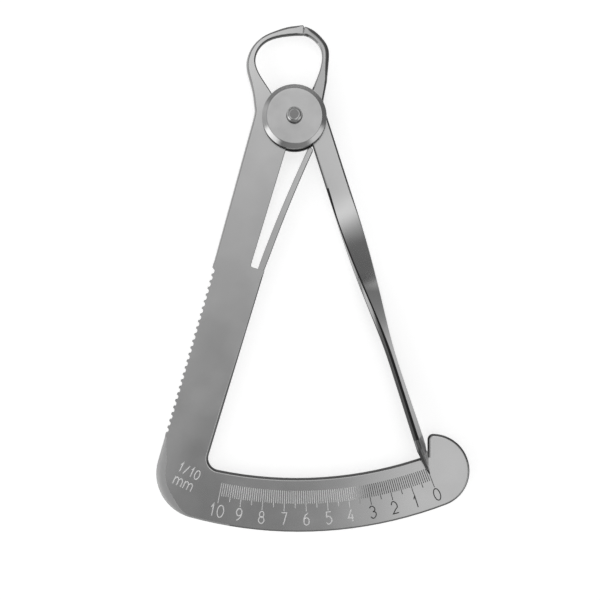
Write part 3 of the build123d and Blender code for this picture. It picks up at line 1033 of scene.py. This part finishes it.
@dataclass
class MovingArm:
    """The right jaw, the flat shank and the twisted blade that ends in a point.

    Sizes are in millimetres and degrees.
    """

    sheet: Sheet
    tilt: float = 17.694
    offset: float = 4.2
    width: float = 4.74
    foot_reach: float = 0.02
    twist_start: float = 16.0
    twist_end: float = 55.0
    twist_angle: float = 74.0
    twist_release: float = 4.0
    lift: float = 1.2
    point_start: float = 73.19
    point_end: float = 78.69
    point_middle: float = 0.6
    point_size: float = 0.3
    pointer_back: float = 3.4
    notch_start: float = 74.3
    stations: int = 72
    ground_stations: int = 3
    # Strips of the blade's right corner that take near-black painted shade.
    black_shade_runs: int = 4
    # Directions into the material that decide the painted shade on the jaw's edges.
    jaw_ways: Point = (0.45, 0.8)
    slope_gain: float = 0.85
    slope_rise: Point = (8.5, 12.5)
    slope_fall: Point = (2.6, 4.2)
    blade_radius: float = 0.24
    sharp_span: Point = (16.0, 24.0)
    release_span: Point = (42.0, 54.0)

    def outline(self) -> Outline:
        """Gives the outline of the jaw and the shank, open at the foot where the twist starts.

        Returns:
            The outline's points in millimetres, from the right foot to the left one.
        """
        points = packed_outline("moving_arm", self.sheet.high)
        places = [lean_place(self.tilt, point) for point in points]
        foot_line = self.twist_start - self.foot_reach
        foot = [index for index, (_, along) in enumerate(places) if along > foot_line]
        right = max(foot, key=lambda index: places[index][0])
        left = min(foot, key=lambda index: places[index][0])
        turned = points[right:] + points[:right]
        return spaced(turned[: (left - right) % len(points) + 1])

    def side(self, point: Point, way: Point) -> Side:
        """Tells how much painted shade the edge has on the run after a point.

        Args:
            point: Point of the outline.
            way: Direction into the material across the run.

        Returns:
            The edge's painted shade.
        """
        if point[1] < self.sheet.jaw_start:
            return Side.SHADED
        soft, lit = self.jaw_ways
        if self.sheet.in_loop(point, way) and way[0] > soft:
            return Side.LIT if way[0] > lit else Side.SOFT
        return Side.PLAIN

    def slope(self, point: Point, way: Point) -> float:
        """Tells how far the jaw's outer rounding is widened at a point.

        Args:
            point: Point of the outline.
            way: Direction into the material.

        Returns:
            The factor for the radius.
        """
        if self.sheet.in_loop(point, way):
            return 1.0
        share = ease(point[1], *self.slope_rise) * ease(point[0], *self.slope_fall)
        return 1.0 + self.slope_gain * share

    def ring(self, along: float) -> list[Vector]:
        """Gives the corners of the blade's section at a distance down the arm.

        Args:
            along: The distance, in millimetres.

        Returns:
            The corners in millimetres, up the right edge and down the left one.
        """
        twisted = ease(along, self.twist_start, self.twist_end)
        released = ease(along, self.twist_end, self.point_start)
        turn = math.radians(self.twist_angle * twisted - self.twist_release * released)
        height = self.sheet.middle + self.lift * released
        left = Vector((*lean_point(self.tilt, -math.cos(turn), 0), math.sin(turn)))
        sharp = ease(along, *self.sharp_span) - ease(along, *self.release_span)
        radius = self.sheet.edge_radius + (self.blade_radius - self.sheet.edge_radius) * sharp
        return self._section(along, height, left, (self.width, self.sheet.thickness), radius)

    def _section(
        self, along: float, height: float, left: Vector, size: Point, radius: float
    ) -> list[Vector]:
        """Gives the corners of a rounded section across the arm.

        Args:
            along: Distance of its middle down the arm, in millimetres.
            height: Height of its middle, in millimetres.
            left: Direction of its width, towards the arm's left edge.
            size: Width and thickness, in millimetres.
            radius: Radius of its corners at the sheet's full thickness, in millimetres.

        Returns:
            The corners in millimetres, up the right edge and down the left one.
        """
        centre = Vector((*lean_point(self.tilt, self.offset, along), height))
        front = left.cross(Vector((*lean_point(self.tilt, 0, 1), 0)))
        width, thickness = size
        scale = thickness / self.sheet.thickness
        rows = self.sheet.section.points(radius)
        return [
            centre
            + left * (way * (width / 2 - inset * scale))
            + front * ((level - self.sheet.middle) * scale)
            for way, edge in ((-1, rows), (1, rows[::-1]))
            for inset, level in edge
        ]

    def blade(self, builder: SheetBuilder, rows: list[list[Corner]]) -> None:
        """Adds the twisted blade and its point to the foot of the flat shank.

        Args:
            builder: The mesh that holds the shank.
            rows: Rows of the shank's edge, which start at its right foot and end at its left.
        """
        length = self.point_start - self.twist_start
        places = (self.twist_start + length * (n + 1) / self.stations for n in range(self.stations))
        sections = [self.ring(along) for along in places]
        size, up = self.point_size, Vector((0, 0, 1))
        height = self.pointer_back + size / 2
        tip = self._section(self.point_end, height, up, (size, size), self.sheet.edge_radius)
        notch = (self.notch_start - self.point_start) / (self.point_end - self.point_start)
        base = sections[-1]
        stops = ((notch, False), (notch, True), (self.point_middle, True), (1.0, True))
        for share, cut_back in stops:
            spots = [a.lerp(b, share) for a, b in zip(base, tip, strict=True)]
            if cut_back:
                for spot in spots:
                    spot.z = max(spot.z, self.pointer_back)
            sections.append(spots)
        rings = [[row[0] for row in rows] + [row[-1] for row in reversed(rows)]]
        rings += [[builder.corner(*spot) for spot in section] for section in sections]
        count = len(rings[0])
        for station, (near, far) in enumerate(zip(rings, rings[1:], strict=False)):
            pointed = station >= self.stations - self.ground_stations
            for here in range(count):
                after = (here + 1) % count
                corners = (near[here], far[here], far[after], near[after])
                builder.strip(corners, self.blade_zone(here, pointed))
        builder.mesh.faces.new(rings[-1])

    def blade_zone(self, index: int, pointed: bool) -> Zone:
        """Tells which material and painted shade the blade's strip after one corner has.

        Args:
            index: Which corner.
            pointed: Whether the strip lies on the tapered end.

        Returns:
            The strip's zone.
        """
        steps = self.sheet.section.steps
        past_front = index - self.sheet.section.rows
        if pointed:
            return Zone.FACE if past_front > 0 else Zone.POINTER
        if 1 <= past_front <= steps or steps < index <= steps + self.black_shade_runs:
            return Zone.PAINTED_BLACK
        if past_front == steps + 1:
            return Zone.BLADE_EDGE
        return Zone.WALL if steps + 1 < past_front < 2 * steps + 2 else Zone.FACE

    def build(self) -> None:
        """Builds the arm in one mesh with its half of the joint."""
        outline = self.outline()
        spots = list(zip(outline, inward(outline, closed=False), strict=True))
        wanted = [self.sheet.radius_at(*s) for s in spots]
        radii = self.sheet.radii(outline, wanted, closed=False)
        radii = [radius * self.slope(*s) for radius, s in zip(radii, spots, strict=True)]
        radii[0] = radii[-1] = self.sheet.edge_radius
        sides = [self.side(*s) for s in zip(outline, runs_inward(outline), strict=True)]
        finishes = SHEET_FINISHES | {
            Zone.FACE: ARM_SHADE_STEEL,
            Zone.BLADE_EDGE: BLADE_EDGE_SHADE_STEEL,
            Zone.PAINTED_BLACK: BLACK_SHADE_STEEL,
            Zone.POINTER: POINTER_HIGHLIGHT_STEEL,
        }
        builder = SheetBuilder(self.sheet.section, finishes)
        self.blade(builder, builder.plate(outline, radii, sides, closed=False))
        bmesh.ops.recalc_face_normals(builder.mesh, faces=builder.mesh.faces)
        piece = builder.object("pointer_arm")
        self.sheet.cut_joint(piece, front=False)
        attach(piece, Body.ARM.value)
        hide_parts("moving_arm")
        log.info("%s: %d faces", piece.name, len(piece.data.polygons))


@dataclass
class LeafSpring:
    """The finger that presses on the arm.

    Sizes are in millimetres.
    """

    sheet: Sheet
    root: Point
    root_reach: float = 0.05
    tongue_width: float = 1.3
    tongue: float = 0.8
    edge_radius: float = 0.16
    sunk: float = 0.012

    def outline(self) -> Outline:
        """Gives the outline of the finger, with a straight tongue let into the limb.

        Returns:
            The outline's points in millimetres, anticlockwise.
        """
        points = packed_outline("leaf_spring", self.sheet.low)
        root = Vector(self.root)
        tip = max(points, key=lambda point: math.dist(point, self.root))
        way = (Vector(tip) - root).normalized()
        side = Vector((-way.y, way.x)) * (self.tongue_width / 2)
        free = [(Vector(point) - root).dot(way) > self.root_reach for point in points]
        start = next(i for i in range(len(points)) if free[i] and not free[i - 1])
        ordered = (points[start:] + points[:start])[: sum(free)]
        foot = root - way * self.tongue
        return spaced([tuple(foot - side), *ordered, tuple(foot + side)])

    def build(self) -> None:
        """Builds the finger."""
        outline = self.outline()
        section = SheetSection(self.sheet.low + self.sunk, self.sheet.high - self.sunk)
        # Right-facing edges get painted shade; left-facing ones stay bare.
        sides = [Side.PLAIN if way[0] < 0 else Side.LIT for way in runs_inward(outline)]
        builder = SheetBuilder(section, SHEET_FINISHES)
        builder.plate(outline, [self.edge_radius] * len(outline), sides, closed=True)
        piece = builder.object("spring_finger")
        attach(piece, Body.LEAF.value)
        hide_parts("leaf_spring")
        log.info("%s: %d faces", piece.name, len(piece.data.polygons))


@dataclass
class Turned:
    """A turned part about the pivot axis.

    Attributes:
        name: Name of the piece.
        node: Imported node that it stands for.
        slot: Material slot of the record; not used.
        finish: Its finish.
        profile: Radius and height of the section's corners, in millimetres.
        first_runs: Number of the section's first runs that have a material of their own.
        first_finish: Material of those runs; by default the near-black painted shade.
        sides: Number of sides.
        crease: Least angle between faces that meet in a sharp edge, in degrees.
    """

    name: str
    node: str
    slot: Slot
    finish: Steel
    profile: list[Point]
    first_runs: int = 0
    first_finish: Steel = BLACK_SHADE_STEEL
    sides: int = 160
    crease: float = 32.0

    def build(self) -> None:
        """Turns the section round the axis."""
        mesh = bmesh.new()
        turns = [math.tau * side / self.sides for side in range(self.sides)]
        rings: list[list[Corner]] = []
        for radius, height in self.profile:
            reach = radius * MM
            places = [(reach * math.cos(a), reach * math.sin(a), height * MM) for a in turns]
            rings.append([mesh.verts.new(place) for place in places])
        for run, (near, far) in enumerate(zip(rings, rings[1:] + rings[:1], strict=True)):
            for here in range(self.sides):
                after = (here + 1) % self.sides
                face = mesh.faces.new((near[here], near[after], far[after], far[here]))
                face.smooth = True
                face.material_index = int(run < self.first_runs)
        bmesh.ops.recalc_face_normals(mesh, faces=mesh.faces)
        for edge in mesh.edges:
            edge.smooth = edge.calc_face_angle(0.0) <= math.radians(self.crease)
        finishes = [self.finish, self.first_finish] if self.first_runs else [self.finish]
        piece = mesh_object(self.name, mesh, finishes)
        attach(piece, Body.FRAME.value)
        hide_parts(self.node)
        log.info("%s: %d faces", piece.name, len(piece.data.polygons))


@dataclass
class PivotJoint:
    """The discs, the washers and the pin that hold the two sheets together.

    Sizes are in millimetres. The corners are pairs of a step out and a step up. Those of a
    disc's bevel are shares of its broken edge, and those of the pin are from its top edge.
    """

    disc_radius: float = 6.65
    disc_thickness: float = 1.7
    bevel_width: float = 0.95
    bevel_height: float = 0.65
    disc_break: float = 0.08
    break_steps: int = 3
    bevel_inset: float = 1.6
    rim_corner: Point = (-0.25, 0.02)
    face_corner: Point = (0.0, -0.22)
    hole_break: float = 0.12
    hole_land: float = 0.05
    front_disc_back: float = 3.23
    washer_radius: float = 4.6
    washer_thickness: float = 0.15
    pin_radius: float = 1.55
    pin_hole_radius: float = 1.56
    pin_top: float = 6.23
    pin_core: float = 0.002
    pin_corners: tuple[Point, ...] = (
        (0.0, -0.35),
        (-0.03, -0.28),
        (-0.22, -0.12),
        (-0.39, -0.05),
        (-0.6, 0.0),
        (-0.68, 0.0),
    )
    pin_bright_runs: int = 6

    def disc_profile(self, base: float, way: int) -> list[Point]:
        """Gives the section of a disc with a bevelled outer rim.

        Args:
            base: Height of its flat inner side.
            way: 1 where the bevelled side is up, -1 where it is down.

        Returns:
            Corners of the section.
        """
        rim, hole, soft = self.disc_radius, self.pin_hole_radius, self.disc_break
        brow, far = rim - self.bevel_width, soft * self.bevel_inset
        top = self.disc_thickness
        foot, fall = top - self.bevel_height, self.bevel_height / self.bevel_width
        turns = [math.radians(90 * n / self.break_steps) for n in range(self.break_steps + 1)]
        corners = [
            (hole, 0.0),
            *((rim + soft * (math.sin(a) - 1), soft * (1 - math.cos(a))) for a in turns),
            (rim, foot - soft),
            (rim + soft * self.rim_corner[0], foot + soft * self.rim_corner[1]),
            (rim - soft, foot + soft * fall),
            (rim - far, foot + far * fall),
            (brow + far, top - far * fall),
            (brow + soft, top - soft * fall),
            (brow + soft * self.face_corner[0], top + soft * self.face_corner[1]),
            (brow - soft, top),
            (brow - far, top),
            (hole + self.hole_break + self.hole_land, top),
            (hole + self.hole_break, top),
            (hole, top - self.hole_break),
        ]
        return [(radius, base + way * height) for radius, height in corners]

    def washer_profile(self, low: float) -> list[Point]:
        """Gives the section of a washer that starts at a height."""
        hole, rim, high = self.pin_hole_radius, self.washer_radius, low + self.washer_thickness
        return [(hole, low), (rim, low), (rim, high), (hole, high)]

    def pin_profile(self) -> list[Point]:
        """Gives the section of the pin, with a chamfered and slightly domed top."""
        corners = [(self.pin_radius + out, self.pin_top + up) for out, up in self.pin_corners]
        return [(self.pin_core, 0), (self.pin_radius, 0), *corners, (self.pin_core, self.pin_top)]

    def build(self) -> None:
        """Builds the discs, the washers and the pin."""
        # The side of each disc that faces the sheets, and its rim wall, take near-black painted
        # shade.
        front, rear, disc_shade_runs = self.front_disc_back, self.disc_thickness, self.break_steps + 2
        for name, node, base, way in (
            ("front_bearing_disc", "front_disc", front, 1),
            ("rear_bearing_disc", "rear_disc", rear, -1),
        ):
            profile = self.disc_profile(base, way)
            Turned(name, node, Slot.DISC, DISC_STEEL, profile, disc_shade_runs).build()
        for name, node, low in (
            ("front_spacer", "front_washer", front - self.washer_thickness),
            ("rear_spacer", "rear_washer", rear),
        ):
            Turned(name, node, Slot.WASHER, WASHER_SHADE_STEEL, self.washer_profile(low)).build()
        pin = ("joint_pin", "pivot_pin", Slot.PIN, PIN_STEEL, self.pin_profile())
        Turned(*pin, self.pin_bright_runs, DISC_STEEL).build()


@dataclass(frozen=True)
class Softbox:
    """A soft light that stands somewhere in the room.

    Attributes:
        way: Direction towards its middle.
        reach: Cosines of the angles from its middle at which it starts and is full.
        level: Its radiance, on which 1 is white.
    """

    way: tuple[float, float, float]
    reach: Point
    level: float


SOFTBOXES = (
    Softbox((-0.8, -0.45, 0.38), (0.9, 0.975), 1.45),
    Softbox((-0.95, 0.1, 0.3), (0.75, 0.95), 0.5),
    Softbox((0.77, -0.4, 0.5), (0.9, 0.98), 0.9),
    Softbox((-0.1, 0.37, 0.92), (0.992, 0.999), 0.6),
    Softbox((-0.45, -0.15, 0.87), (0.95, 0.99), 0.5),
    Softbox((0.2, -0.3, 0.93), (0.993, 0.9995), 0.3),
    Softbox((-0.3, 0.92, 0.2), (0.3, 0.95), 0.3),
    Softbox((0.1, -0.9, 0.35), (0.6, 0.95), 0.26),
    Softbox((0.95, 0.25, 0.2), (0.5, 0.9), 0.15),
)


@dataclass
class Studio:
    """The floor, the soft light and the camera.

    Sizes are in metres but for the lens and the sensor, which are in millimetres. Light levels
    are radiances on which 1 is white.
    """

    floor_side: float = 3.0
    floor_drop: float = 0.00005
    floor_colour: float = 0.8
    floor_roughness: float = 0.9
    floor_glow: float = 0.6
    camera_place: tuple[float, float, float] = (0.00115, -0.0378, 0.14845)
    lens: float = 42.05
    sensor: float = 36.0
    clip: Point = (0.001, 10.0)
    surround: float = 0.09
    overhead_reach: Point = (0.72, 0.98)
    overhead_levels: Point = (0.26, 0.72)
    overhead_span: Point = (-0.27, 0.24)
    band_level: float = 0.66
    band_rise: Point = (0.0, 0.2)
    band_fall: Point = (0.22, 0.42)

    def light(self) -> None:
        """Sets the world: a broad soft light overhead, softboxes round it, and a dim room.

        The camera sees white in place of the room, so that the ground has no edge.
        """
        world = bpy.data.worlds.new("studio")
        bpy.context.scene.world = world
        world.use_nodes = True
        nodes = NodeBuilder(world.node_tree)
        way = nodes.add("ShaderNodeTexCoord").outputs["Generated"]
        x, y, z = nodes.add("ShaderNodeSeparateXYZ", {0: way}).outputs
        low, high = self.overhead_levels
        level = nodes.fade(y, self.overhead_span)
        level = nodes.math("MULTIPLY_ADD", level, high - low, low)
        past = nodes.math("SUBTRACT", 1.0, nodes.fade(x, self.band_fall))
        band = nodes.math("MULTIPLY", nodes.fade(x, self.band_rise), past)
        level = nodes.math("MULTIPLY_ADD", band, self.band_level, level)
        above = nodes.math("MULTIPLY", nodes.fade(z, self.overhead_reach), level)
        total = nodes.math("ADD", above, self.surround)
        for box in SOFTBOXES:
            facing: Value = 0.0
            for part, share in zip((x, y, z), Vector(box.way).normalized(), strict=True):
                facing = nodes.math("MULTIPLY_ADD", part, share, facing)
            total = nodes.math("MULTIPLY_ADD", nodes.fade(facing, box.reach), box.level, total)
        rays = nodes.add("ShaderNodeLightPath").outputs
        total = nodes.math("MAXIMUM", total, rays["Is Camera Ray"])
        background = world.node_tree.nodes["Background"]
        nodes.feed(background, {"Color": WHITE, "Strength": total})

    def floor(self) -> None:
        """Lays a plain white floor under the caliper."""
        mesh = bmesh.new()
        bmesh.ops.create_grid(mesh, x_segments=1, y_segments=1, size=self.floor_side / 2)
        bmesh.ops.translate(mesh, verts=mesh.verts, vec=(0, 0, -self.floor_drop))
        made = mesh_object("floor", mesh, [])
        paper = bpy.data.materials.new("white_paper")
        paper.use_nodes = True
        nodes = NodeBuilder(paper.node_tree)
        rays = nodes.add("ShaderNodeLightPath").outputs
        seen = nodes.math("MAXIMUM", rays["Is Camera Ray"], rays["Is Glossy Ray"])
        seen = nodes.math("MAXIMUM", seen, rays["Is Transmission Ray"])
        nodes.feed(
            paper.node_tree.nodes["Principled BSDF"],
            {
                "Base Color": (*[self.floor_colour] * 3, 1),
                "Roughness": self.floor_roughness,
                "Emission Color": WHITE,
                "Emission Strength": nodes.math("MULTIPLY", seen, self.floor_glow),
            },
        )
        made.data.materials.append(paper)

    def camera(self) -> None:
        """Sets the camera straight above the caliper."""
        data = bpy.data.cameras.new("camera")
        data.lens = self.lens
        data.sensor_width = self.sensor
        data.clip_start, data.clip_end = self.clip
        made = bpy.data.objects.new("camera", data)
        made.location = self.camera_place
        bpy.context.scene.collection.objects.link(made)
        bpy.context.scene.camera = made

    def build(self) -> None:
        """Sets up the whole studio."""
        bpy.context.scene.view_settings.view_transform = "Standard"
        self.light()
        self.floor()
        self.camera()


def main() -> None:
    """Builds the caliper and the studio."""
    logging.basicConfig(level=logging.INFO, format="%(name)s: %(message)s")
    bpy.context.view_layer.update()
    sheet = Sheet()
    plate = FramePlate(sheet)
    plate.build()
    MovingArm(sheet).build()
    LeafSpring(sheet, plate.leaf_root).build()
    PivotJoint().build()
    Studio().build()


if __name__ == "__main__":
    main()
